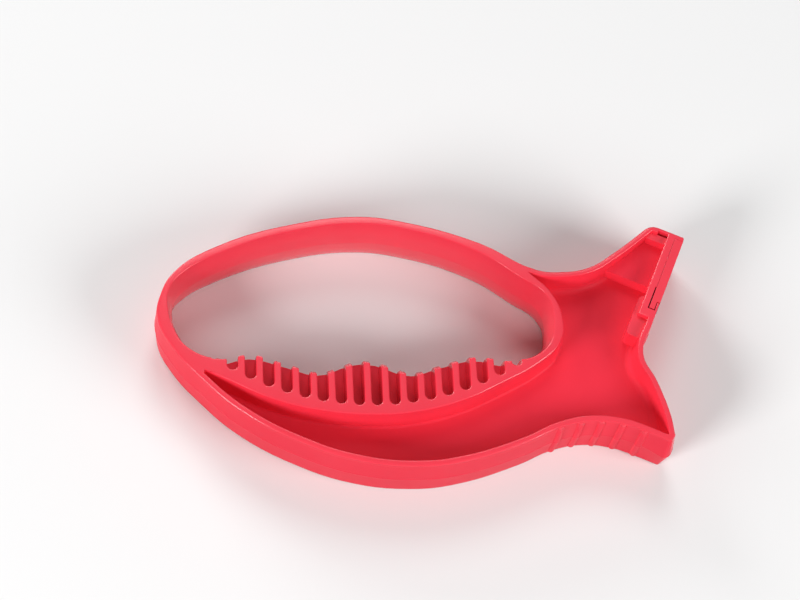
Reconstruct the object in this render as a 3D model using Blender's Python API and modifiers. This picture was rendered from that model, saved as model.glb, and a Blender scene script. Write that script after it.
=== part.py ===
"""Universal hand sharpener: a fish-shaped moulded handle with a carbide blade in its tail.

The handle is one moulding with an I section: a thin web at mid thickness, deep trays on both faces,
a knuckle bow round the finger hole and a crowned comb grip. The upper prong of the tail holds a
carrier strip, and the carrier holds the carbide blade. The tool lies on its back face, its length
along X, its nose at -X. The origin is under the middle of the box.
"""

import math

import bmesh
import bpy
from mathutils import Matrix, Vector
from mathutils.geometry import intersect_point_line

MM = 0.001

# Overall plan size of the front edges, and the size at which the plan below is drawn
BODY_LENGTH = 175.7 * MM
BODY_WIDTH = 88.0 * MM
DRAWN_LENGTH = 175.7
DRAWN_WIDTH = 88.0
DRAWN_MIDDLE_X = 0.13

# Handle moulding: thickness, web, walls and rounds
BODY_THICKNESS = 22.0 * MM
WEB_THICKNESS = 2.4 * MM
RIM_WIDTH = 1.9 * MM
WALL_DRAFT = 0.55 * MM
TRAY_DRAFT = 0.5 * MM
TRAY_FILLET = 2.2 * MM
FILLET_FADE = 4.0 * MM
LOOP_FOOT_FILLET = 1.0 * MM
LOOP_EDGE_ROUND = 0.7 * MM
PRONG_CORNER_ROUND = 0.9 * MM
PRONG_HEEL_ROUND = 4.5 * MM
TIP_BULGE = 1.1 * MM
TIP_REACH = 7.0 * MM
ROUND_STEPS = 3

# Finger hole: how far its wall bulges in at mid thickness, most at the middle of the grip
BOW_CROWN = 1.6 * MM
GRIP_CROWN = 3.4 * MM
CROWN_LEVELS = (0.0, 0.4, 0.7, 1.0)

# Comb slots of the grip, cut from both faces down to the web
SLOT_COUNT = 18
SLOT_WIDTH = 3.6 * MM
SLOT_BOTTOM_STEPS = 6
RIB_END_ROUND = 0.8 * MM
RIB_END_RUNOUT = 0.15 * MM

# Thumb rest: small cross ribs under the tail
THUMB_RIB_COUNT = 5
THUMB_RIB_RADIUS = 1.4 * MM
THUMB_RIB_HEIGHT = 0.75 * MM
THUMB_RIB_SIDES = 16
THUMB_RIB_END = 0.3 * MM
THUMB_RIB_TAPER = 0.9 * MM
THUMB_RIB_TIP_RADIUS = 0.8 * MM

# Upper prong of the tail. S runs up its end face from the lower end, T runs into the prong
PRONG_BAR_WIDTH = 5.5 * MM
HOUSING_START = 12.8 * MM
HOUSING_DROP = 5.0 * MM
SHELF_LENGTH = 4.7 * MM
SHELF_DROP = 1.5 * MM
BUTTRESS_LENGTH = 7.5 * MM
BUTTRESS_EDGE = 1.0 * MM
BUTTRESS_OVERHANG = 1.5 * MM
BUTTRESS_DROP = 2.0 * MM
BUTTRESS_ROUND = 1.4 * MM
TOP_SLIT_LENGTH = 3.4 * MM
TOP_SLIT_WIDTH = 0.9 * MM
TOP_SLIT_DROP = 3.0 * MM
TOP_WALL = 1.2 * MM

# Carrier strip in the end of the prong: a free tongue behind a lip at its foot, a tenon in the housing
PIECE_GAP = 0.3 * MM
SEAM_GAP = 0.08 * MM
CARRIER_START = 3.5 * MM
CARRIER_TOP_WALL = 1.8 * MM
CARRIER_DEPTH = 2.9 * MM
TONGUE_LENGTH = 8.0 * MM
TONGUE_GAP = 0.4 * MM
LIP_LENGTH = 2.6 * MM
LIP_WIDTH = 0.8 * MM
TENON_INSET = 1.9 * MM
TENON_DEPTH = 6.5 * MM
TENON_THICKNESS = 5.0 * MM

# Carbide blade in a groove of the carrier
BLADE_END_WALL = 1.5 * MM
BLADE_THICKNESS = 2.0 * MM
BLADE_SEAT_DEPTH = 2.0 * MM
BLADE_PROUD = 0.6 * MM
BLADE_BEVEL = 0.8 * MM

# Cutters run this far past the faces they open
OVERRUN = 2.0 * MM
CURVE_STEPS = 5
HALF = BODY_THICKNESS / 2
WEB_TOP = WEB_THICKNESS / 2

# The plan, drawn in millimetres: knots of the front edges, counter-clockwise. S is smooth, C a corner
PRONG_FOOT = ("S", 74.8, 6.7)
PRONG_TOP = ("C", 88.2, 36.7)
PRONG_HEEL = ("C", 77.1, 41.6)
TIP_BELOW = ("C", 76.6, -36.4)
TIP_ABOVE = ("C", 78.0, -33.9)
FISH_KNOTS = [
    ("S", -87.5, 7.5), ("S", -82.5, -3.3), ("S", -73.8, -13.6), ("S", -61.5, -24.8),
    ("S", -42.4, -35.7), ("S", -24.1, -42.0), ("S", -6.5, -44.0), ("S", 7.5, -42.8),
    ("S", 30.4, -35.8), ("S", 40.7, -31.1), ("S", 51.5, -29.0), ("S", 61.9, -30.2),
    ("S", 68.2, -32.5), TIP_BELOW, TIP_ABOVE, ("S", 77.3, -27.2),
    ("S", 73.8, -14.8), ("S", 70.2, -5.5), PRONG_FOOT, PRONG_TOP,
    PRONG_HEEL, ("S", 62.7, 30.5), ("S", 54.7, 25.7), ("S", 44.8, 24.0),
    ("S", 37.0, 24.8), ("S", 18.8, 34.4), ("S", -7.6, 42.4), ("S", -20.8, 44.0),
    ("S", -40.8, 41.6), ("S", -69.4, 32.3), ("S", -82.2, 23.5), ("S", -86.3, 16.0),
]
FINGER_KNOTS = [
    ("S", -84.2, 12.5), ("S", -82.4, 4.0), ("S", -77.6, -3.2), ("S", -67.0, -7.2),
    ("S", -58.0, -5.8), ("S", -47.0, -9.0), ("S", -35.8, -12.2), ("S", -21.2, -8.4),
    ("S", -5.5, -12.5), ("S", 4.5, -9.6), ("S", 15.5, -6.7), ("S", 26.0, -8.0),
    ("S", 38.0, -3.6), ("S", 41.4, 5.8), ("S", 39.6, 15.4), ("S", 31.3, 22.0),
    ("S", 17.5, 31.3), ("S", -7.0, 39.5), ("S", -20.9, 41.1), ("S", -40.3, 38.9),
    ("S", -68.0, 29.9), ("S", -80.2, 22.3), ("S", -83.6, 17.2),
]
# The loop's edge on the tray side; its last four corners lie outside the fish
LOOP_KNOTS = [
    ("C", -72.4, -11.0), ("S", -64.2, -14.8), ("S", -51.8, -20.7), ("S", -36.0, -24.9),
    ("S", -20.7, -26.4), ("S", -5.7, -25.6), ("S", 10.6, -21.4), ("S", 22.4, -15.9),
    ("S", 36.4, -8.0), ("S", 42.9, -1.5), ("S", 44.5, 5.8), ("S", 41.4, 16.3),
    ("C", 34.0, 24.0), ("C", 30.0, 60.0), ("C", -100.0, 60.0), ("C", -100.0, -16.0),
    ("C", -73.8, -16.0),
]

# Places along the plan: the comb's first and last slot, the arc of their bottoms, the grip, the thumb ribs
COMB_FROM_X = -69.3
COMB_TO_X = 28.1
COMB_ARC_X = -18.8
COMB_ARC_RADIUS = 87.5
COMB_LOWEST_Y = -23.2
COMB_OPEN_Y = 8.0
GRIP_MIDDLE_X = -20.0
GRIP_END_X = 38.0
THUMB_FROM_X = 41.0
THUMB_TO_X = 68.2

RED_PLASTIC = (0.80, 0.045, 0.075)
CARBIDE_GREY = (0.20, 0.20, 0.21)
PLASTIC_ROUGHNESS = 0.35
CARBIDE_ROUGHNESS = 0.3

# Outline offsets: sharpest mitre, smallest turn that counts as a corner, slack for folded points
MITRE_LIMIT = 0.5
CORNER_TURN = math.radians(25.0)
FOLD_SLACK = 0.02 * MM


def clear_scene():
    for item in list(bpy.data.objects):
        bpy.data.objects.remove(item)


def new_collection(name):
    collection = bpy.data.collections.new(name)
    bpy.context.scene.collection.children.link(collection)
    return collection


def make_material(name, colour, roughness, metallic):
    material = bpy.data.materials.new(name)
    material.use_nodes = True
    shader = material.node_tree.nodes["Principled BSDF"]
    shader.inputs["Base Color"].default_value = (*colour, 1.0)
    shader.inputs["Roughness"].default_value = roughness
    shader.inputs["Metallic"].default_value = metallic
    return material


def plan(x, y):
    """A drawn point at the body's real length and width."""
    return Vector(((x - DRAWN_MIDDLE_X) * BODY_LENGTH / DRAWN_LENGTH, y * BODY_WIDTH / DRAWN_WIDTH))


def spread(first, last, count):
    """Evenly spaced values from the first to the last."""
    return [first + (last - first) * index / (count - 1) for index in range(count)]


def smooth_outline(knots):
    """Points along a closed Bezier curve through the drawn knots."""
    curve = bpy.data.curves.new("outline", "CURVE")
    curve.dimensions = "2D"
    curve.fill_mode = "NONE"
    curve.resolution_u = CURVE_STEPS
    spline = curve.splines.new("BEZIER")
    spline.bezier_points.add(len(knots) - 1)
    spline.use_cyclic_u = True
    for point, (kind, x, y) in zip(spline.bezier_points, knots):
        point.co = plan(x, y).to_3d()
        handle = "AUTO" if kind == "S" else "VECTOR"
        point.handle_left_type = handle
        point.handle_right_type = handle
    holder = bpy.data.objects.new("outline", curve)
    bpy.context.scene.collection.objects.link(holder)
    depsgraph = bpy.context.evaluated_depsgraph_get()
    mesh = bpy.data.meshes.new_from_object(holder.evaluated_get(depsgraph))
    points = [vertex.co.to_2d() for vertex in mesh.vertices]
    bpy.data.objects.remove(holder)
    bpy.data.meshes.remove(mesh)
    return points


def sides_at(points, index):
    """Directions of the sides before and after a point of a closed outline."""
    before = (points[index] - points[index - 1]).normalized()
    after = (points[(index + 1) % len(points)] - points[index]).normalized()
    return before, after


def outward_normals(points):
    """Mitred outward normals of a counter-clockwise outline."""
    normals = []
    for index in range(len(points)):
        before, after = sides_at(points, index)
        bisector = Vector((before.y + after.y, -before.x - after.x)).normalized()
        lean = max(bisector.dot(Vector((after.y, -after.x))), MITRE_LIMIT)
        normals.append(bisector / lean)
    return normals


def sharp_corners(points):
    """The points where a closed outline turns sharply."""
    corners = []
    for index, point in enumerate(points):
        before, after = sides_at(points, index)
        if before.angle(after) > CORNER_TURN:
            corners.append(point)
    return corners


def corner_round(corner):
    """The round of one of the fish's corners: wide at the upper prong's heel, small at the others."""
    heel = plan(*PRONG_HEEL[1:])
    return PRONG_HEEL_ROUND if (corner - heel).length < FOLD_SLACK else PRONG_CORNER_ROUND


def soften_corners(points):
    """The outline with an arc in place of each sharp outer corner."""
    corners = sharp_corners(points)
    softened = []
    for index, point in enumerate(points):
        before, after = sides_at(points, index)
        if point in corners:
            radius = corner_round(point)
            reach = radius * math.tan(before.angle(after) / 2)
            start = point - before * reach
            centre = start + Vector((-before.y, before.x)) * radius
            first = math.degrees(math.atan2(-before.x, before.y))
            turn = math.degrees(before.angle(after))
            softened += arc(centre, radius, first, first + turn, ROUND_STEPS)
        elif all((point - corner).length > corner_round(corner) for corner in corners):
            softened.append(point)
    return softened


def ring(points, normals, height, offset_at):
    """The outline at a height, moved along its normals by what offset_at gives for each point."""
    return [
        (point + normal * offset_at(point, normal)).to_3d() + Vector((0.0, 0.0, height))
        for point, normal in zip(points, normals)
    ]


def gap_to_outline(point, outline):
    """Distance from a point to the nearest edge of a closed outline."""
    gaps = []
    for index, end in enumerate(outline):
        start = outline[index - 1]
        foot, share = intersect_point_line(point, start, end)
        foot = start.lerp(end, min(max(share, 0.0), 1.0))
        gaps.append((point - foot).length)
    return min(gaps)


def inset_outline(points, distance):
    """The outline moved inwards, without the points that fold over at tight corners."""
    moved = [point - normal * distance for point, normal in zip(points, outward_normals(points))]
    return [point for point in moved if gap_to_outline(point, points) > distance - FOLD_SLACK]


def lower_side(outline, x):
    """Height in plan of the lower side of a closed outline at x."""
    crossings = []
    for index, end in enumerate(outline):
        start = outline[index - 1]
        if min(start.x, end.x) <= x < max(start.x, end.x):
            crossings.append(start.lerp(end, (x - start.x) / (end.x - start.x)).y)
    return min(crossings)


def arc(centre, radius, start, end, steps):
    """Points round a centre, from one angle to another in degrees."""
    turns = [math.radians(turn) for turn in spread(start, end, steps + 1)]
    return [centre + radius * Vector((math.cos(turn), math.sin(turn))) for turn in turns]


def quarter_round(radius):
    """Height and inset of the points of a quarter round, from its foot to its top."""
    turns = spread(0.0, math.pi / 2, ROUND_STEPS + 1)
    return [(radius * (1.0 - math.cos(turn)), radius * (1.0 - math.sin(turn))) for turn in turns]


def new_object(name, shape, collection):
    """Makes an object of a finished bmesh, with its zero height at mid thickness."""
    mesh = bpy.data.meshes.new(name)
    shape.to_mesh(mesh)
    shape.free()
    item = bpy.data.objects.new(name, mesh)
    item.location.z = HALF
    collection.objects.link(item)
    return item


def skin(shape, rings):
    """Adds a closed solid through rings of equal count, from the lowest to the highest."""
    levels = [[shape.verts.new(point) for point in level] for level in rings]
    for lower, upper in zip(levels, levels[1:]):
        for index in range(len(lower)):
            after = (index + 1) % len(lower)
            shape.faces.new((lower[index], lower[after], upper[after], upper[index]))
    shape.faces.new(levels[0][::-1])
    shape.faces.new(levels[-1])


def loft(name, rings, collection):
    shape = bmesh.new()
    skin(shape, rings)
    return new_object(name, shape, collection)


def steady(amount):
    return lambda point, normal: amount


def prong_length():
    return (plan(*PRONG_TOP[1:]) - plan(*PRONG_FOOT[1:])).length


def prong_matrix():
    """Axes of the upper prong: S up its end face, T into the prong, Z through the thickness."""
    foot = plan(*PRONG_FOOT[1:]).to_3d()
    along = (plan(*PRONG_TOP[1:]).to_3d() - foot).normalized()
    inward = Vector((-along.y, along.x, 0.0))
    axes = Matrix((along, inward, Vector((0.0, 0.0, 1.0)))).transposed().to_4x4()
    return Matrix.Translation(foot) @ axes


def prong_box(name, s_range, t_range, z_range, collection, corner_round=0.0):
    """A box in the axes of the upper prong, its heights measured from mid thickness."""
    shape = bmesh.new()
    bmesh.ops.create_cube(shape, size=1.0)
    spans = (s_range, t_range, z_range)
    size = Vector([high - low for low, high in spans])
    centre = Vector([(high + low) / 2 for low, high in spans])
    bmesh.ops.scale(shape, vec=size, verts=shape.verts)
    bmesh.ops.translate(shape, vec=centre, verts=shape.verts)
    if corner_round:
        upright = [edge for edge in shape.edges if edge.verts[0].co.xy == edge.verts[1].co.xy]
        bmesh.ops.bevel(
            shape, geom=upright, offset=corner_round, offset_type="OFFSET", segments=ROUND_STEPS, profile=0.5,
            affect="EDGES",
        )
    bmesh.ops.transform(shape, matrix=prong_matrix(), verts=shape.verts)
    return new_object(name, shape, collection)


def cut(item, cutter, operation="DIFFERENCE"):
    boolean = item.modifiers.new(cutter.name, "BOOLEAN")
    boolean.operation = operation
    boolean.object = cutter
    boolean.solver = "MANIFOLD"


def hide(cutters):
    for cutter in cutters.objects:
        cutter.hide_render = True
        cutter.display_type = "WIRE"


def finger_crown(point, normal):
    """How far the finger hole's wall moves at mid thickness: inwards, most at the middle of the grip."""
    if normal.y > 0.0:
        return -BOW_CROWN
    middle = plan(GRIP_MIDDLE_X, 0.0).x
    reach = (point.x - middle) / (plan(GRIP_END_X, 0.0).x - middle)
    return -BOW_CROWN - (GRIP_CROWN - BOW_CROWN) * max(0.0, 1.0 - reach * reach)


def finger_ring(points, height):
    """The finger hole's outline at a height above mid thickness."""
    share = 1.0 - (height / HALF) ** 2
    normals = outward_normals(points)
    return ring(points, normals, height, lambda point, normal: finger_crown(point, normal) * share)


def shifted(level, rise):
    return [point + Vector((0.0, 0.0, rise)) for point in level]


def make_finger_hole(cutters):
    points = smooth_outline(FINGER_KNOTS)
    rings = [finger_ring(points, share * HALF) for share in CROWN_LEVELS]
    rings.insert(0, shifted(rings[0], -OVERRUN))
    rings.append(shifted(rings[-1], OVERRUN))
    return loft("finger_hole_cutter", rings, cutters)


def slot_bottom(drawn_x):
    """The drawn bottom of a comb slot: the bottoms lie on an arc."""
    reach = drawn_x - COMB_ARC_X
    return COMB_LOWEST_Y + COMB_ARC_RADIUS - math.sqrt(COMB_ARC_RADIUS**2 - reach**2)


def slot_outline(bottom, hole, rounded):
    """One slot in plan: a round bottom, straight sides and rounded rib ends at the finger hole."""
    radius = SLOT_WIDTH / 2
    reach = Vector((radius + RIB_END_ROUND, 0.0)) if rounded else Vector((radius, 0.0))
    outline = arc(bottom + Vector((0.0, radius)), radius, 180.0, 360.0, SLOT_BOTTOM_STEPS)
    right = Vector(((bottom + reach).x, lower_side(hole, (bottom + reach).x) + RIB_END_RUNOUT))
    left = Vector(((bottom - reach).x, lower_side(hole, (bottom - reach).x) + RIB_END_RUNOUT))
    inset = Vector((0.0, RIB_END_ROUND))
    past_edge = Vector((0.0, OVERRUN))
    if rounded:
        outline += arc(right - inset, RIB_END_ROUND, 180.0, 90.0, ROUND_STEPS)
    outline += [right + past_edge, left + past_edge]
    if rounded:
        outline += arc(left - inset, RIB_END_ROUND, 90.0, 0.0, ROUND_STEPS)
    return outline


def make_comb_slots(cutters):
    """Slots open to the finger hole, from the front face down to the web."""
    shape = bmesh.new()
    points = smooth_outline(FINGER_KNOTS)
    heights = [WEB_TOP] + [share * HALF for share in CROWN_LEVELS if share * HALF > WEB_TOP]
    holes = [[point.to_2d() for point in finger_ring(points, height)] for height in heights]
    least_depth = SLOT_WIDTH / 2 + 2 * RIB_END_ROUND
    for drawn_x in spread(COMB_FROM_X, COMB_TO_X, SLOT_COUNT):
        bottom = plan(drawn_x, slot_bottom(drawn_x))
        rounded = lower_side(holes[-1], bottom.x) - bottom.y > least_depth
        rings = []
        for height, hole in zip(heights, holes):
            outline = slot_outline(bottom, hole, rounded)
            rings.append([point.to_3d() + Vector((0.0, 0.0, height)) for point in outline])
        rings.append(shifted(rings[-1], OVERRUN))
        skin(shape, rings)
    return new_object("comb_slot_cutter", shape, cutters)


def tray_draft(height):
    """How far a tray wall stands in from its front edge at a height above mid thickness."""
    return TRAY_DRAFT * (HALF - height) / (HALF - WEB_TOP)


def faded(corners, draft, amount):
    """An offset of the wall's draft and an amount of round that dies out at the corners."""
    def offset(point, normal):
        nearest = min((point - corner).length for corner in corners)
        return draft + amount * min(1.0, nearest / FILLET_FADE)
    return offset


def make_loop_keeper(cutters):
    """The finger loop as the tray leaves it: a fillet at its foot, a rounded front edge."""
    loop = smooth_outline(LOOP_KNOTS)
    normals = outward_normals(loop)
    corners = sharp_corners(loop)
    rings = []
    for rise, inset in quarter_round(LOOP_FOOT_FILLET):
        height = WEB_TOP + rise
        rings.append(ring(loop, normals, height, faded(corners, tray_draft(height), inset)))
    for rise, inset in reversed(quarter_round(LOOP_EDGE_ROUND)):
        height = HALF - rise
        rings.append(ring(loop, normals, height, faded(corners, tray_draft(height), -inset)))
    rings.insert(0, shifted(rings[0], -OVERRUN - WEB_TOP))
    rings.append(shifted(rings[-1], 2 * OVERRUN))
    return loft("loop_keeper", rings, cutters)


def make_tray(fish, cutters):
    """The tray of one face: the fish less its rim, the finger loop and the raised parts of the prong."""
    edge = inset_outline(fish, RIM_WIDTH)
    normals = outward_normals(edge)
    corners = sharp_corners(edge)
    rings = []
    for rise, inset in quarter_round(TRAY_FILLET):
        height = WEB_TOP + rise
        rings.append(ring(edge, normals, height, faded(corners, -tray_draft(height), -inset)))
    rings.append(ring(edge, normals, HALF + OVERRUN, steady(0.0)))
    tray = loft("tray_cutter", rings, cutters)
    cut(tray, make_loop_keeper(cutters))

    past_top = prong_length() + OVERRUN
    shelf_start = prong_length() - SHELF_LENGTH
    floor = -OVERRUN
    bar = prong_box(
        "bar_keeper", (0.0, past_top), (-OVERRUN, PRONG_BAR_WIDTH), (floor, HALF + 2 * OVERRUN), cutters
    )
    housing = prong_box(
        "housing_keeper", (HOUSING_START, past_top), (0.0, past_top), (floor, HALF - HOUSING_DROP), cutters
    )
    shelf = prong_box(
        "shelf_keeper", (shelf_start, past_top), (0.0, past_top), (floor, HALF - SHELF_DROP), cutters
    )
    buttress = prong_box(
        "buttress_keeper",
        (-BUTTRESS_LENGTH, BUTTRESS_LENGTH),
        (BUTTRESS_EDGE, PRONG_BAR_WIDTH + BUTTRESS_OVERHANG),
        (floor, HALF - BUTTRESS_DROP),
        cutters,
        corner_round=BUTTRESS_ROUND,
    )
    for keeper in (bar, housing, shelf, buttress):
        cut(tray, keeper)
    return tray


def wall_bulge(point, normal):
    """How far the outer wall stands out at mid thickness: its draft, and more at the lower prong's tip."""
    tip = plan(*TIP_BELOW[1:]).lerp(plan(*TIP_ABOVE[1:]), 0.5)
    return WALL_DRAFT + TIP_BULGE * max(0.0, 1.0 - (point - tip).length / TIP_REACH)


def make_thumb_ribs(fish, cutters):
    """Round cross ribs along the concave edge under the tail, leaning with the wall's draft."""
    shape = bmesh.new()
    normals = outward_normals(fish)
    top = HALF - THUMB_RIB_END
    shoulder = top - THUMB_RIB_TAPER
    for drawn_x in spread(THUMB_FROM_X, THUMB_TO_X, THUMB_RIB_COUNT):
        x = plan(drawn_x, 0.0).x
        foot = Vector((x, lower_side(fish, x)))
        nearest = min(range(len(fish)), key=lambda index: (fish[index] - foot).length)
        outward = normals[nearest].normalized()
        centre = foot + outward * (THUMB_RIB_HEIGHT - THUMB_RIB_RADIUS)
        rings = []
        for height, radius in ((-OVERRUN, THUMB_RIB_RADIUS), (shoulder, THUMB_RIB_RADIUS), (top, THUMB_RIB_TIP_RADIUS)):
            middle = centre + outward * WALL_DRAFT * (1.0 - height / HALF)
            circle = arc(middle, radius, 0.0, 360.0, THUMB_RIB_SIDES)[:-1]
            rings.append([point.to_3d() + Vector((0.0, 0.0, height)) for point in circle])
        skin(shape, rings)
    return new_object("thumb_ribs", shape, cutters)


def make_handle(parts, cutters):
    sharp_fish = smooth_outline(FISH_KNOTS)
    fish = soften_corners(sharp_fish)
    normals = outward_normals(fish)
    parting = ring(fish, normals, 0.0, wall_bulge)
    front = ring(fish, normals, HALF, steady(0.0))
    handle = loft("handle_body", [shifted(parting, -OVERRUN), parting, front], parts)

    carrier_start, carrier_end = carrier_span()
    channel = prong_box(
        "carrier_channel_cutter",
        (carrier_start + LIP_LENGTH, carrier_end + SEAM_GAP),
        (-OVERRUN, CARRIER_DEPTH + SEAM_GAP),
        (-OVERRUN, HALF + OVERRUN),
        cutters,
    )
    tongue_pocket = prong_box(
        "tongue_pocket_cutter",
        (carrier_start - TONGUE_GAP, carrier_start + TONGUE_LENGTH),
        (LIP_WIDTH, CARRIER_DEPTH + TONGUE_GAP),
        (-OVERRUN, HALF + OVERRUN),
        cutters,
    )
    tenon_start, tenon_end = tenon_span()
    mortise = prong_box(
        "tenon_mortise_cutter",
        (tenon_start - PIECE_GAP, tenon_end + PIECE_GAP),
        (0.0, CARRIER_DEPTH + TENON_DEPTH + PIECE_GAP),
        (-OVERRUN, TENON_THICKNESS / 2 + PIECE_GAP),
        cutters,
    )
    slit_end = prong_length() - TOP_WALL
    slit = prong_box(
        "top_slit_cutter",
        (slit_end - TOP_SLIT_WIDTH, slit_end),
        (PRONG_BAR_WIDTH, PRONG_BAR_WIDTH + TOP_SLIT_LENGTH),
        (HALF - TOP_SLIT_DROP, HALF + OVERRUN),
        cutters,
    )
    cut(handle, make_thumb_ribs(fish, cutters), "UNION")
    cut(handle, make_tray(sharp_fish, cutters))
    cut(handle, make_finger_hole(cutters))
    cut(handle, make_comb_slots(cutters))
    for cutter in (channel, tongue_pocket, mortise, slit):
        cut(handle, cutter)
    mirror = handle.modifiers.new("both_faces", "MIRROR")
    mirror.use_axis = (False, False, True)
    mirror.use_bisect_axis = (False, False, True)
    mirror.merge_threshold = 0.00001
    return handle


def carrier_span():
    """The carrier reaches from its start to the wall at the prong's top."""
    return CARRIER_START, prong_length() - CARRIER_TOP_WALL


def tenon_span():
    """The tenon lies inside the housing, between its foot and the shelf."""
    return HOUSING_START + TENON_INSET, prong_length() - SHELF_LENGTH - TENON_INSET


def blade_span():
    """The blade lies along the carrier above the lip, with a wall at each end."""
    start, end = carrier_span()
    return start + LIP_LENGTH + PIECE_GAP + BLADE_END_WALL, end - BLADE_END_WALL


def make_carrier(parts, cutters):
    """The strip in the prong's end face: flush with both faces, with a tenon and a blade groove."""
    carrier = prong_box("blade_carrier", carrier_span(), (0.0, CARRIER_DEPTH), (-HALF, HALF), parts)
    lip_notch = prong_box(
        "lip_notch_cutter",
        (0.0, CARRIER_START + LIP_LENGTH + PIECE_GAP),
        (-OVERRUN, LIP_WIDTH + PIECE_GAP),
        (-HALF - OVERRUN, HALF + OVERRUN),
        cutters,
    )
    tenon = prong_box(
        "carrier_tenon",
        tenon_span(),
        (CARRIER_DEPTH / 2, CARRIER_DEPTH + TENON_DEPTH),
        (-TENON_THICKNESS / 2, TENON_THICKNESS / 2),
        cutters,
    )
    blade_start, blade_end = blade_span()
    groove = prong_box(
        "blade_groove_cutter",
        (blade_start - PIECE_GAP, blade_end + PIECE_GAP),
        (-OVERRUN, BLADE_SEAT_DEPTH + PIECE_GAP),
        (-BLADE_THICKNESS / 2 - PIECE_GAP, BLADE_THICKNESS / 2 + PIECE_GAP),
        cutters,
    )
    cut(carrier, tenon, "UNION")
    cut(carrier, groove)
    cut(carrier, lip_notch)
    return carrier


def make_blade(parts):
    """A flat carbide bar whose outer long edge is ground to two bevels."""
    blade = prong_box(
        "carbide_blade",
        blade_span(),
        (-BLADE_PROUD, BLADE_SEAT_DEPTH),
        (-BLADE_THICKNESS / 2, BLADE_THICKNESS / 2),
        parts,
    )
    shape = bmesh.new()
    shape.from_mesh(blade.data)
    to_prong = prong_matrix().inverted()
    outer_edges = [
        edge
        for edge in shape.edges
        if all(abs((to_prong @ vertex.co).y + BLADE_PROUD) < PIECE_GAP for vertex in edge.verts)
        and edge.calc_length() > BLADE_THICKNESS + PIECE_GAP
    ]
    bmesh.ops.bevel(
        shape, geom=outer_edges, offset=BLADE_BEVEL, offset_type="OFFSET", segments=1, profile=0.5,
        affect="EDGES",
    )
    shape.to_mesh(blade.data)
    shape.free()
    return blade


def main():
    clear_scene()
    parts = new_collection("hand_sharpener")
    cutters = new_collection("cutters")
    handle = make_handle(parts, cutters)
    carrier = make_carrier(parts, cutters)
    blade = make_blade(parts)
    hide(cutters)
    handle.data.materials.append(make_material("red_plastic", RED_PLASTIC, PLASTIC_ROUGHNESS, 0.0))
    carrier.data.materials.append(make_material("carrier_plastic", RED_PLASTIC, PLASTIC_ROUGHNESS, 0.0))
    blade.data.materials.append(make_material("carbide", CARBIDE_GREY, CARBIDE_ROUGHNESS, 1.0))


main()
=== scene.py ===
# %% [markdown]
# # A moulded hand sharpener, dressed for its picture
# The tool is one red plastic moulding in the shape of a fish. A strip in the end of its tail holds a
# small carbide blade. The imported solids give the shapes, and each step adds one finish or one piece on
# top of them, so the lesson can be followed from the frame to the last edge.

# %% Load the frame
import math
from collections import deque

import bmesh
import bpy
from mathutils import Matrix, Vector
from mathutils.bvhtree import BVHTree


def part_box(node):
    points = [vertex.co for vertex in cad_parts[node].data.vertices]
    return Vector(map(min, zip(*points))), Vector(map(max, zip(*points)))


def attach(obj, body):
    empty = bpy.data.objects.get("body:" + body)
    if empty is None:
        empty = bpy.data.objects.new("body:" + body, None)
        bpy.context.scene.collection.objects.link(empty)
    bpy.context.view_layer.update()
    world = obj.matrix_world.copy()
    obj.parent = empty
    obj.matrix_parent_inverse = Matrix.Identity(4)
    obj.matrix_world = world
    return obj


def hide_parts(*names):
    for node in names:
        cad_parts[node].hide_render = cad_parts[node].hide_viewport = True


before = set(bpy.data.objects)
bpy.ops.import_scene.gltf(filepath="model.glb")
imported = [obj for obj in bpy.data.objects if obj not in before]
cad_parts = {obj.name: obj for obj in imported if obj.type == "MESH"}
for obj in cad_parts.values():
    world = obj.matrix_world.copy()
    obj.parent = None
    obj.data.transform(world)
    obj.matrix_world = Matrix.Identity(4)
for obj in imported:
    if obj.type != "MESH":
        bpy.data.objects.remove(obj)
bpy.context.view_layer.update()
MM = 0.001
handle_low, handle_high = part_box("handle_body")
print("solids:", sorted(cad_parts), "thickness", round((handle_high[2] - handle_low[2]) / MM, 2), "mm")

# %% [markdown]
# ## The view
# The tool lies flat and is seen from above, from the thumb side and a little towards the nose, so the
# front face shows with some of the outer wall. A constraint could aim the camera, but a place and three
# angles written down give the same picture each time. A long lens keeps both ends alike in size.

# %% Camera
LENS_MM = 98.0
SENSOR_MM = 36.0
CAMERA_PLACE = (-0.09035, -0.2803, 0.6617)
CAMERA_TILT = (24.80, -6.03, -2.66)
camera_data = bpy.data.cameras.new("view_camera")
camera_data.lens = LENS_MM
camera_data.sensor_width = SENSOR_MM
camera = bpy.data.objects.new("view_camera", camera_data)
camera.location = CAMERA_PLACE
camera.rotation_euler = [math.radians(angle) for angle in CAMERA_TILT]
bpy.context.scene.collection.objects.link(camera)
bpy.context.scene.camera = camera
bpy.context.scene.view_settings.view_transform = "Standard"
print("camera height", round(camera.location.z, 3), "m")

# %% [markdown]
# ## Floor
# A pale floor throws a lot of light back up, and a red wall above it turns pink. A darker floor would
# cure that and look wrong. Light Path gives both: a ray from the eye, also one that was mirrored, meets
# a pale floor, and the light that bounces on to the tool comes from a darker one.

# %% Pale floor
FLOOR_HALF = 3.0
FLOOR_DROP = 0.2 * MM
FLOOR_BOUNCE = 0.45
FLOOR_SEEN = 0.84
FLOOR_ROUGHNESS = 0.9
FLOOR_SHINE = 0.1


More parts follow.
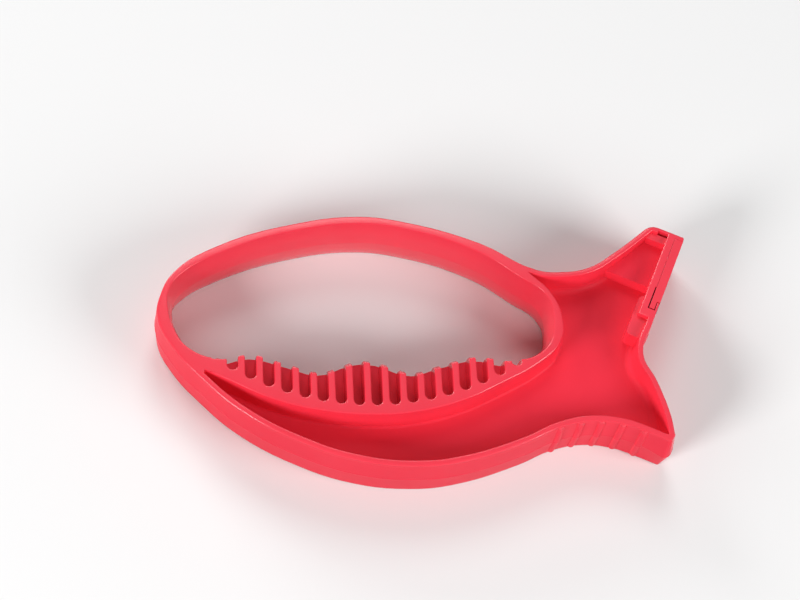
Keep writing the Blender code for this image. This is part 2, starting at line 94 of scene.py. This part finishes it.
def seen_share(tree):
    """A socket that is 1 on rays from the eye, straight, mirrored or through glass, and 0 on others."""
    rays = tree.nodes.new("ShaderNodeLightPath")
    mirrored = tree.nodes.new("ShaderNodeMath")
    mirrored.operation = "MAXIMUM"
    tree.links.new(rays.outputs["Is Glossy Ray"], mirrored.inputs[0])
    tree.links.new(rays.outputs["Is Transmission Ray"], mirrored.inputs[1])
    seen = tree.nodes.new("ShaderNodeMath")
    seen.operation = "MAXIMUM"
    tree.links.new(rays.outputs["Is Camera Ray"], seen.inputs[0])
    tree.links.new(mirrored.outputs["Value"], seen.inputs[1])
    return seen.outputs["Value"]


def grey(level):
    return (level, level, level, 1.0)


def floor_paint():
    paint = bpy.data.materials.new("pale_floor")
    paint.use_nodes = True
    nodes = paint.node_tree.nodes
    links = paint.node_tree.links
    shader = nodes["Principled BSDF"]
    shader.inputs["Roughness"].default_value = FLOOR_ROUGHNESS
    shader.inputs["Specular IOR Level"].default_value = FLOOR_SHINE
    tone = nodes.new("ShaderNodeMix")
    tone.data_type = "RGBA"
    tone.inputs["A"].default_value = grey(FLOOR_BOUNCE)
    tone.inputs["B"].default_value = grey(FLOOR_SEEN)
    links.new(seen_share(paint.node_tree), tone.inputs["Factor"])
    links.new(tone.outputs["Result"], shader.inputs["Base Color"])
    return paint


def pale_floor():
    shape = bmesh.new()
    bmesh.ops.create_grid(shape, x_segments=1, y_segments=1, size=FLOOR_HALF)
    bmesh.ops.translate(shape, vec=(0.0, 0.0, -FLOOR_DROP), verts=shape.verts)
    mesh = bpy.data.meshes.new("floor")
    shape.to_mesh(mesh)
    shape.free()
    mesh.materials.append(floor_paint())
    floor = bpy.data.objects.new("floor", mesh)
    bpy.context.scene.collection.objects.link(floor)
    print("floor", 2 * FLOOR_HALF, "m wide")


pale_floor()

# %% [markdown]
# ## Lamps and sky
# One large lamp overhead would light the trays evenly and flatten them. Four soft lamps stand lower
# round the tool instead, so that each tray wall keeps its own shade. The two in front are the stronger
# ones, and the two behind keep the far walls from going dark. A dim even sky opens the shadows, and
# Light Path shows a paler one to the eye and to mirrored rays.

# %% Soft lamps
LAMP_DISTANCE = 1.15


def soft_lamp(name, azimuth, elevation, size, watts):
    """A round soft lamp that looks at the tool from a compass angle and a height angle in degrees."""
    flat = math.cos(math.radians(elevation))
    direction = Vector((
        flat * math.cos(math.radians(azimuth)),
        flat * math.sin(math.radians(azimuth)),
        math.sin(math.radians(elevation)),
    ))
    lamp_data = bpy.data.lights.new(name, "AREA")
    lamp_data.shape = "DISK"
    lamp_data.size = size
    lamp_data.energy = watts
    lamp = bpy.data.objects.new(name, lamp_data)
    lamp.location = direction * LAMP_DISTANCE
    lamp.rotation_euler = (-direction).to_track_quat("-Z", "Y").to_euler()
    bpy.context.scene.collection.objects.link(lamp)


soft_lamp("front_left_lamp", azimuth=217.0, elevation=25.0, size=0.45, watts=11.0)
soft_lamp("front_right_lamp", azimuth=329.0, elevation=27.0, size=0.7, watts=10.0)
soft_lamp("back_left_lamp", azimuth=120.0, elevation=20.0, size=0.45, watts=5.2)
soft_lamp("back_lamp", azimuth=88.0, elevation=50.0, size=0.5, watts=3.6)

# %% Studio sky
SKY_LIGHT = 0.12
SKY_SEEN = 0.75


def studio_sky():
    world = bpy.data.worlds.new("studio_sky")
    world.use_nodes = True
    nodes = world.node_tree.nodes
    links = world.node_tree.links
    nodes["Background"].inputs["Color"].default_value = grey(1.0)
    strength = nodes.new("ShaderNodeMapRange")
    strength.inputs["To Min"].default_value = SKY_LIGHT
    strength.inputs["To Max"].default_value = SKY_SEEN
    links.new(seen_share(world.node_tree), strength.inputs["Value"])
    links.new(strength.outputs["Result"], nodes["Background"].inputs["Strength"])
    bpy.context.scene.world = world
    print("sky", SKY_LIGHT, "as light,", SKY_SEEN, "as seen")


studio_sky()

# %% [markdown]
# ## Red moulded plastic
# The handle is cheap polypropylene. Its colour drifts a little where the melt flowed, its gloss is
# uneven, and its surface keeps a faint orange peel from the mould. A picture could be wrapped round it,
# but noise on Object coordinates needs no unwrapping and stays put from every side. One recipe makes
# three finishes: a glossy red for the faces and lips, a satin red for the side walls and trays, which
# mirror little, and a red of its own batch for the carrier strip.

# %% Plastic finish
GLOW_SHARE = 0.06
GLOW_COLOURS = (1.0, 0.15, 0.1)
GLOW_DEPTH = 1.5 * MM
FLOW_SCALE = 26.0
FLOW_DETAIL = 3.0
FLOW_RANGE = (0.3, 0.7)
GLOSS_SCALE = 140.0
GLOSS_DETAIL = 4.0
PEEL_SCALE = 420.0
PEEL_DETAIL = 2.0
PEEL_STRENGTH = 0.05
PEEL_DEPTH = 0.25 * MM


def moulded_plastic(name, light_red, dark_red, shine, smoothest, roughest):
    """A red with drifting colour, uneven gloss between two roughnesses, and orange peel."""
    finish = bpy.data.materials.new(name)
    finish.use_nodes = True
    nodes = finish.node_tree.nodes
    links = finish.node_tree.links
    shader = nodes["Principled BSDF"]
    shader.inputs["Specular IOR Level"].default_value = shine
    shader.inputs["Subsurface Weight"].default_value = GLOW_SHARE
    shader.inputs["Subsurface Radius"].default_value = GLOW_COLOURS
    shader.inputs["Subsurface Scale"].default_value = GLOW_DEPTH
    place = nodes.new("ShaderNodeTexCoord")

    flow = nodes.new("ShaderNodeTexNoise")
    flow.inputs["Scale"].default_value = FLOW_SCALE
    flow.inputs["Detail"].default_value = FLOW_DETAIL
    links.new(place.outputs["Object"], flow.inputs["Vector"])
    tint = nodes.new("ShaderNodeValToRGB")
    for element, position, red in zip(tint.color_ramp.elements, FLOW_RANGE, (dark_red, light_red)):
        element.position = position
        element.color = (*red, 1.0)
    links.new(flow.outputs["Fac"], tint.inputs["Fac"])
    links.new(tint.outputs["Color"], shader.inputs["Base Color"])

    gloss = nodes.new("ShaderNodeTexNoise")
    gloss.inputs["Scale"].default_value = GLOSS_SCALE
    gloss.inputs["Detail"].default_value = GLOSS_DETAIL
    links.new(place.outputs["Object"], gloss.inputs["Vector"])
    spread = nodes.new("ShaderNodeMapRange")
    spread.inputs["To Min"].default_value = smoothest
    spread.inputs["To Max"].default_value = roughest
    links.new(gloss.outputs["Fac"], spread.inputs["Value"])
    links.new(spread.outputs["Result"], shader.inputs["Roughness"])

    peel = nodes.new("ShaderNodeTexNoise")
    peel.inputs["Scale"].default_value = PEEL_SCALE
    peel.inputs["Detail"].default_value = PEEL_DETAIL
    links.new(place.outputs["Object"], peel.inputs["Vector"])
    bump = nodes.new("ShaderNodeBump")
    bump.inputs["Strength"].default_value = PEEL_STRENGTH
    bump.inputs["Distance"].default_value = PEEL_DEPTH
    links.new(peel.outputs["Fac"], bump.inputs["Height"])
    links.new(bump.outputs["Normal"], shader.inputs["Normal"])
    return finish


# %% The three reds
HANDLE_REDS = (0.84, 0.037, 0.068), (0.78, 0.030, 0.058)
CARRIER_REDS = (0.83, 0.036, 0.066), (0.76, 0.029, 0.055)
handle_red = moulded_plastic("handle_red", *HANDLE_REDS, shine=0.4, smoothest=0.16, roughest=0.24)
satin_red = moulded_plastic("satin_red", *HANDLE_REDS, shine=0.08, smoothest=0.34, roughest=0.46)
carrier_red = moulded_plastic("carrier_red", *CARRIER_REDS, shine=0.4, smoothest=0.18, roughest=0.28)
print("finishes:", handle_red.name, satin_red.name, carrier_red.name)

# %% [markdown]
# ## Rounded lips
# The solids have sharp edges, and no moulding does: every edge that leaves the mould is rounded, and
# the bright line along each rim is a lamp caught on that small round. Bevel is the usual tool, but the
# flat front and back come as long thin triangles, and a bevel cracks there. So the flat is taken out,
# its border loops are stepped inwards and upwards along a quarter circle, and the smaller flat is filled.

# %% Border loops of a flat face
MERGE_REACH = 0.001 * MM
FLAT_SLACK = 0.01 * MM


def merged_copy(node):
    """The mesh of a solid as a bmesh with its triangles joined."""
    shape = bmesh.new()
    shape.from_mesh(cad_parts[node].data)
    bmesh.ops.remove_doubles(shape, verts=shape.verts, dist=MERGE_REACH)
    return shape


def lies_at(vertices, level):
    """True where all the vertices lie at one height."""
    return all(abs(vertex.co.z - level) < FLAT_SLACK for vertex in vertices)


def open_flat(shape, level):
    """Takes out the flat faces at a level and gives the border edges that they leave."""
    flats = [face for face in shape.faces if lies_at(face.verts, level)]
    bmesh.ops.delete(shape, geom=flats, context="FACES")
    return [edge for edge in shape.edges if edge.is_boundary]


def edge_runs(edges):
    """Orders edges into runs of vertices, alike each time. A closed run doesn't repeat its first vertex."""
    left = dict.fromkeys(edges)
    runs = []
    while left:
        start = next(iter(left))
        del left[start]
        run = deque(start.verts)
        for end, grow in ((-1, run.append), (0, run.appendleft)):
            following = [edge for edge in run[end].link_edges if edge in left]
            while following:
                del left[following[0]]
                grow(following[0].other_vert(run[end]))
                following = [edge for edge in run[end].link_edges if edge in left]
        if run[0] is run[-1]:
            run.pop()
        runs.append(list(run))
    return runs


# %% How wide a lip may be
BLUNT_ANGLE = math.radians(30.0)
SHARP_ANGLE = math.radians(60.0)
SLIGHT_TURN = math.radians(3.0)
TIGHT_SHARE = 0.5


def wall_beside(first, second):
    """The wall face at a border edge, given by the edge's two vertices."""
    edge = next(edge for edge in first.link_edges if second in edge.verts)
    return edge.link_faces[0]


def lip_share(wall, up):
    """How much of the round an edge gets: none on a wall that is already round, all on a steep one."""
    angle = wall.normal.angle(up)
    return min(max((angle - BLUNT_ANGLE) / (SHARP_ANGLE - BLUNT_ANGLE), 0.0), 1.0)


def corner_room(before, here, after, sides):
    """The most that a lip may step inwards before it meets itself in a tight outward corner."""
    turn = sides[0].angle(sides[1])
    if turn < SLIGHT_TURN or sides[1].dot((here - before).to_2d()) > 0.0:
        return math.inf
    return TIGHT_SHARE * min((here - before).length, (after - here).length) / turn


# %% Quarter rounds along the loops
LIP_STEPS = 4
MITRE_LIMIT = 0.5


def lip_plan(loop, up, radius_at):
    """The way inwards and the radius at each vertex of a border loop."""
    inward = []
    radii = []
    for index, vertex in enumerate(loop):
        before = loop[index - 1]
        after = loop[(index + 1) % len(loop)]
        walls = [wall_beside(before, vertex), wall_beside(vertex, after)]
        sides = [-wall.normal.to_2d().normalized() for wall in walls]
        middle = (sides[0] + sides[1]).normalized()
        inward.append((middle / max(middle.dot(sides[0]), MITRE_LIMIT)).to_3d())
        radius = radius_at(vertex.co) * sum(lip_share(wall, up) for wall in walls) / 2
        radii.append(min(radius, corner_room(before.co, vertex.co, after.co, sides)))
    return inward, radii


def round_loop(shape, loop, up, radius_at):
    """Builds the quarter round along a border loop and gives its inner ring."""
    inward, radii = lip_plan(loop, up, radius_at)
    outer = loop
    starts = [vertex.co.copy() for vertex in loop]
    for vertex, radius in zip(loop, radii):
        vertex.co -= up * radius
    for step in range(1, LIP_STEPS + 1):
        turn = math.pi / 2 * step / LIP_STEPS
        ring = []
        for start, side, radius in zip(starts, inward, radii):
            inset = side * radius * (1.0 - math.cos(turn))
            ring.append(shape.verts.new(start + inset - up * radius * (1.0 - math.sin(turn))))
        for index in range(len(loop)):
            after = (index + 1) % len(loop)
            shape.faces.new((outer[index], outer[after], ring[after], ring[index]))
        outer = ring
    return outer


def round_face(shape, level, up, radius_of):
    """Rounds every border of the flat face at a level. radius_of gives each loop its radius function."""
    rings = []
    for loop in edge_runs(open_flat(shape, level)):
        rings.append(round_loop(shape, loop, up, radius_of(loop)))
    edges = []
    for ring in rings:
        for index, vertex in enumerate(ring):
            edges.append(shape.edges.get((vertex, ring[(index + 1) % len(ring)])))
    bmesh.ops.triangle_fill(shape, use_beauty=True, use_dissolve=False, edges=edges, normal=up)


# %% [markdown]
# ## From mesh to finished piece
# Every dressed mesh becomes a piece in one way. Smooth shading alone would bend the light across the
# large flats, and flat shading would show each step of the rounds. So edges above an angle are marked
# sharp, those on the parting level too, and weighted normals keep the flats even beside the rounds.

# %% Finished pieces
UP = Vector((0.0, 0.0, 1.0))
PARTING_LEVEL = (handle_low[2] + handle_high[2]) / 2
SMOOTH_LIMIT = math.radians(40.0)


def finished_piece(shape, name, finishes, node):
    """Makes a visible piece of a finished bmesh that stands in for a solid."""
    bmesh.ops.remove_doubles(shape, verts=shape.verts, dist=MERGE_REACH)
    bmesh.ops.recalc_face_normals(shape, faces=shape.faces)
    mesh = bpy.data.meshes.new(name)
    shape.to_mesh(mesh)
    shape.free()
    if "custom_normal" in mesh.attributes:
        mesh.attributes.remove(mesh.attributes["custom_normal"])
    mesh.shade_smooth()
    mesh.set_sharp_from_angle(angle=SMOOTH_LIMIT)
    for edge in mesh.edges:
        if lies_at([mesh.vertices[end] for end in edge.vertices], PARTING_LEVEL):
            edge.use_edge_sharp = True
    for finish in finishes:
        mesh.materials.append(finish)
    piece = bpy.data.objects.new(name, mesh)
    bpy.context.scene.collection.objects.link(piece)
    weigh = piece.modifiers.new("even_flats", "WEIGHTED_NORMAL")
    weigh.keep_sharp = True
    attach(piece, "root")
    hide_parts(node)
    print(name, len(mesh.polygons), "faces")


# %% [markdown]
# ## Lips of the handle
# The outer rim is held in the palm and has the widest round. The finger hole, the comb and the trays
# have a smaller one, and beside the carrier strip the edge stays crisp, so that the two lie flush. Along
# the thumb ribs the outer lip shrinks, because the ribs end just below the rim. One radius for all would
# be simpler, but it would eat into the ribs and open the seam.

# %% Lip widths
OUTER_LIP = 0.75 * MM
INNER_LIP = 0.4 * MM
SEAM_LIP = 0.05 * MM
SEAM_REACH = 0.6 * MM
RIB_LIP = 0.28 * MM
RIB_FADE = 6.0 * MM
THUMB_RIBS = (39.0 * MM, 69.5 * MM)
THUMB_SIDE = -20.0 * MM
OUTSIDE_SHARE = 0.9


def carrier_surface():
    shape = merged_copy("blade_carrier")
    surface = BVHTree.FromBMesh(shape)
    shape.free()
    return surface


def outer_lip(place):
    """The outer lip's radius, which shrinks along the thumb ribs."""
    beyond = max(THUMB_RIBS[0] - place.x, place.x - THUMB_RIBS[1], 0.0)
    share = min(beyond / RIB_FADE, 1.0) if place.y < THUMB_SIDE else 1.0
    return RIB_LIP + (OUTER_LIP - RIB_LIP) * share


def handle_lips(seam):
    """Lip radius along each loop of the handle: widest outside, crisp beside the carrier strip."""
    def radius_of(loop):
        reach = max(vertex.co.x for vertex in loop) - min(vertex.co.x for vertex in loop)
        outside = reach > OUTSIDE_SHARE * (handle_high[0] - handle_low[0])

        def radius_at(place):
            if seam.find_nearest(place)[3] < SEAM_REACH:
                return SEAM_LIP
            return outer_lip(place) if outside else INNER_LIP
        return radius_at
    return radius_of


# %% [markdown]
# ## Steps in the tail trays
# Behind the bar of the upper prong the tray has a shelf and a sunken housing, and their edges are soft
# on a moulding. These edges are straight, so Bevel does them well, once the thin triangles beside them
# are dissolved into whole faces.

# %% Softened steps
TAIL_START = 58.0 * MM
STEP_LOW = 4.0 * MM
STEP_HIGH = 9.8 * MM
STEP_ROUND = 0.45 * MM
STEP_SEGMENTS = 3
SAME_PLANE = math.radians(0.05)


def height_from_middle(place):
    return abs(place.z - PARTING_LEVEL)


def is_step(edge):
    """True for a level, sharp, convex edge in the tail, between web and rim."""
    heights = [height_from_middle(vertex.co) for vertex in edge.verts]
    if max(heights) - min(heights) >= FLAT_SLACK or not STEP_LOW < heights[0] < STEP_HIGH:
        return False
    return edge.verts[0].co.x > TAIL_START and edge.is_convex and edge.calc_face_angle() > SHARP_ANGLE


def soften_steps(shape):
    """Rounds the straight edges of the steps in the tail trays."""
    vertices = []
    for vertex in shape.verts:
        if vertex.co.x > TAIL_START and height_from_middle(vertex.co) > STEP_LOW:
            vertices.append(vertex)
    near = set(vertices)
    edges = [edge for edge in shape.edges if near.issuperset(edge.verts)]
    bmesh.ops.dissolve_limit(shape, angle_limit=SAME_PLANE, verts=vertices, edges=edges)
    steps = [edge for edge in shape.edges if is_step(edge)]
    bmesh.ops.bevel(
        shape, geom=steps, offset=STEP_ROUND, offset_type="OFFSET", segments=STEP_SEGMENTS, profile=0.5,
        affect="EDGES", clamp_overlap=True, material=-1,
    )
    print("softened", len(steps), "step edges")


# %% [markdown]
# ## Glossy rims and satin walls
# The faces and lips of the tool shine, and its outer wall and its trays mirror little. Choosing faces by
# height alone would also take the walls of the finger hole, which are glossy. So the satin finish
# spreads from face to face: over steep faces from the parting line, and over soft bends from the web.

# %% Satin walls and trays
SATIN = 1
STEEP = 0.15
NEARLY_LEVEL = 0.99
LIP_FOOT = 10.2 * MM
WEB_REACH = 2.0 * MM


def parting_run(shape):
    """The vertices of the outer wall at mid thickness, from one side of the carrier to the other."""
    seam = carrier_surface()
    edges = []
    for edge in shape.edges:
        level = lies_at(edge.verts, PARTING_LEVEL)
        if level and all(seam.find_nearest(vertex.co)[3] > SEAM_REACH for vertex in edge.verts):
            edges.append(edge)
    return max(edge_runs(edges), key=lambda run: max(vertex.co.x for vertex in run))


def spread_satin(faces, joins):
    """Gives the satin finish to some faces and on from there to every face that joins."""
    waiting = list(faces)
    reached = set()
    while waiting:
        face = waiting.pop()
        if face not in reached:
            reached.add(face)
            face.material_index = SATIN
            for edge in face.edges:
                waiting.extend(beside for beside in edge.link_faces if joins(edge, beside))
    return len(reached)


def joins_side(edge, face):
    return abs(face.normal.z) < STEEP


def joins_tray(edge, face):
    low = height_from_middle(face.calc_center_median()) < LIP_FOOT
    return low and edge.calc_face_angle(math.pi) < SHARP_ANGLE


def is_web(face):
    return abs(face.normal.z) > NEARLY_LEVEL and height_from_middle(face.calc_center_median()) < WEB_REACH


def satin_walls(shape):
    """The outer side wall, from the parting run, and the trays, from the web at mid thickness."""
    shape.normal_update()
    side = []
    for vertex in parting_run(shape):
        side.extend(face for face in vertex.link_faces if joins_side(None, face))
    web = [face for face in shape.faces if is_web(face)]
    print("satin faces:", spread_satin(side, joins_side), "side,", spread_satin(web, joins_tray), "trays")


# %% Dressed handle
def dress_handle():
    shape = merged_copy("handle_body")
    soften_steps(shape)
    lips = handle_lips(carrier_surface())
    round_face(shape, handle_high[2], UP, lips)
    round_face(shape, handle_low[2], -UP, lips)
    satin_walls(shape)
    finished_piece(shape, "moulded_handle", (handle_red, satin_red), "handle_body")


dress_handle()

# %% [markdown]
# ## Carrier strip
# The strip that holds the blade lies flush in the bar of the upper prong. It gets the same small lip as
# the edge of the handle beside it, so that the seam reads as a fine line and not as a groove.


# %% Dressed carrier
def dress_carrier():
    shape = merged_copy("blade_carrier")
    round_face(shape, handle_high[2], UP, lambda loop: lambda place: SEAM_LIP)
    round_face(shape, handle_low[2], -UP, lambda loop: lambda place: SEAM_LIP)
    finished_piece(shape, "carrier_strip", (carrier_red,), "blade_carrier")


dress_carrier()

# %% [markdown]
# ## Parting line
# The two halves of the mould meet at mid thickness and leave a hair of flash on the outer wall. A bump
# in the material would vanish at the outline, so it is a thin ridge with a four-sided section. It runs
# along the wall from one side of the carrier round to the other, and both of its ends are closed.

# %% Flash ridge
FLASH_RISE = 0.09 * MM
FLASH_HALF_HEIGHT = 0.13 * MM
FLASH_ROOT = 0.1 * MM


def flash_shape():
    """The ridge as a bmesh, with the number of its sections."""
    wall = merged_copy("handle_body")
    shape = bmesh.new()
    sections = []
    for vertex in parting_run(wall):
        out = vertex.normal.to_2d().normalized().to_3d()
        offsets = (out * FLASH_RISE, UP * FLASH_HALF_HEIGHT, -out * FLASH_ROOT, -UP * FLASH_HALF_HEIGHT)
        sections.append([shape.verts.new(vertex.co + offset) for offset in offsets])
    for section, after in zip(sections, sections[1:]):
        for corner in range(len(section)):
            beside = (corner + 1) % len(section)
            shape.faces.new((section[corner], after[corner], after[beside], section[beside]))
    shape.faces.new(sections[0])
    shape.faces.new(sections[-1])
    wall.free()
    bmesh.ops.recalc_face_normals(shape, faces=shape.faces)
    return shape, len(sections)


def flash_ridge():
    shape, count = flash_shape()
    mesh = bpy.data.meshes.new("parting_flash")
    shape.to_mesh(mesh)
    shape.free()
    mesh.materials.append(handle_red)
    piece = bpy.data.objects.new("parting_flash", mesh)
    bpy.context.scene.collection.objects.link(piece)
    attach(piece, "root")
    print("flash ridge of", count, "sections")


flash_ridge()

# %% [markdown]
# ## Carbide blade
# Sintered carbide is ground on a wheel: a dark grey metal with fine lines along the blade and a slightly
# mottled shine. The lines could be cut as geometry, but they are far finer than a pixel, so a stretched
# noise makes them. They run along the prong, and a Mapping node turns the noise to its direction.

# %% Ground carbide
BLADE_TURN = math.radians(65.9)
LINE_STRETCH = (60.0, 4000.0, 4000.0)
LINE_SCALE = 1.0
LINE_DETAIL = 3.0
LINE_RANGE = (0.35, 0.65)
CARBIDE_GREYS = (0.13, 0.13, 0.14), (0.27, 0.27, 0.28)
MOTTLE_SCALE = 900.0
SMOOTHEST_CARBIDE = 0.24
ROUGHEST_CARBIDE = 0.42
LINE_STRENGTH = 0.2
LINE_DEPTH = 0.02 * MM


def ground_carbide():
    finish = bpy.data.materials.new("ground_carbide")
    finish.use_nodes = True
    nodes = finish.node_tree.nodes
    links = finish.node_tree.links
    shader = nodes["Principled BSDF"]
    shader.inputs["Metallic"].default_value = 1.0
    place = nodes.new("ShaderNodeTexCoord")

    turned = nodes.new("ShaderNodeMapping")
    turned.inputs["Rotation"].default_value = (0.0, 0.0, -BLADE_TURN)
    turned.inputs["Scale"].default_value = LINE_STRETCH
    links.new(place.outputs["Object"], turned.inputs["Vector"])
    lines = nodes.new("ShaderNodeTexNoise")
    lines.inputs["Scale"].default_value = LINE_SCALE
    lines.inputs["Detail"].default_value = LINE_DETAIL
    links.new(turned.outputs["Vector"], lines.inputs["Vector"])

    tint = nodes.new("ShaderNodeValToRGB")
    for element, position, tone in zip(tint.color_ramp.elements, LINE_RANGE, CARBIDE_GREYS):
        element.position = position
        element.color = (*tone, 1.0)
    links.new(lines.outputs["Fac"], tint.inputs["Fac"])
    links.new(tint.outputs["Color"], shader.inputs["Base Color"])

    mottle = nodes.new("ShaderNodeTexNoise")
    mottle.inputs["Scale"].default_value = MOTTLE_SCALE
    links.new(place.outputs["Object"], mottle.inputs["Vector"])
    shine = nodes.new("ShaderNodeMapRange")
    shine.inputs["To Min"].default_value = SMOOTHEST_CARBIDE
    shine.inputs["To Max"].default_value = ROUGHEST_CARBIDE
    links.new(mottle.outputs["Fac"], shine.inputs["Value"])
    links.new(shine.outputs["Result"], shader.inputs["Roughness"])

    bump = nodes.new("ShaderNodeBump")
    bump.inputs["Strength"].default_value = LINE_STRENGTH
    bump.inputs["Distance"].default_value = LINE_DEPTH
    links.new(lines.outputs["Fac"], bump.inputs["Height"])
    links.new(bump.outputs["Normal"], shader.inputs["Normal"])
    return finish


# %% Dressed blade
BLADE_EDGE = 0.08 * MM
BLADE_FLAT = math.radians(1.0)


def dress_blade():
    shape = merged_copy("carbide_blade")
    bmesh.ops.dissolve_limit(shape, angle_limit=BLADE_FLAT, verts=shape.verts, edges=shape.edges)
    bmesh.ops.bevel(
        shape, geom=shape.edges[:], offset=BLADE_EDGE, offset_type="OFFSET", segments=1, profile=0.5,
        affect="EDGES", material=-1,
    )
    finished_piece(shape, "ground_blade", (ground_carbide(),), "carbide_blade")


dress_blade()
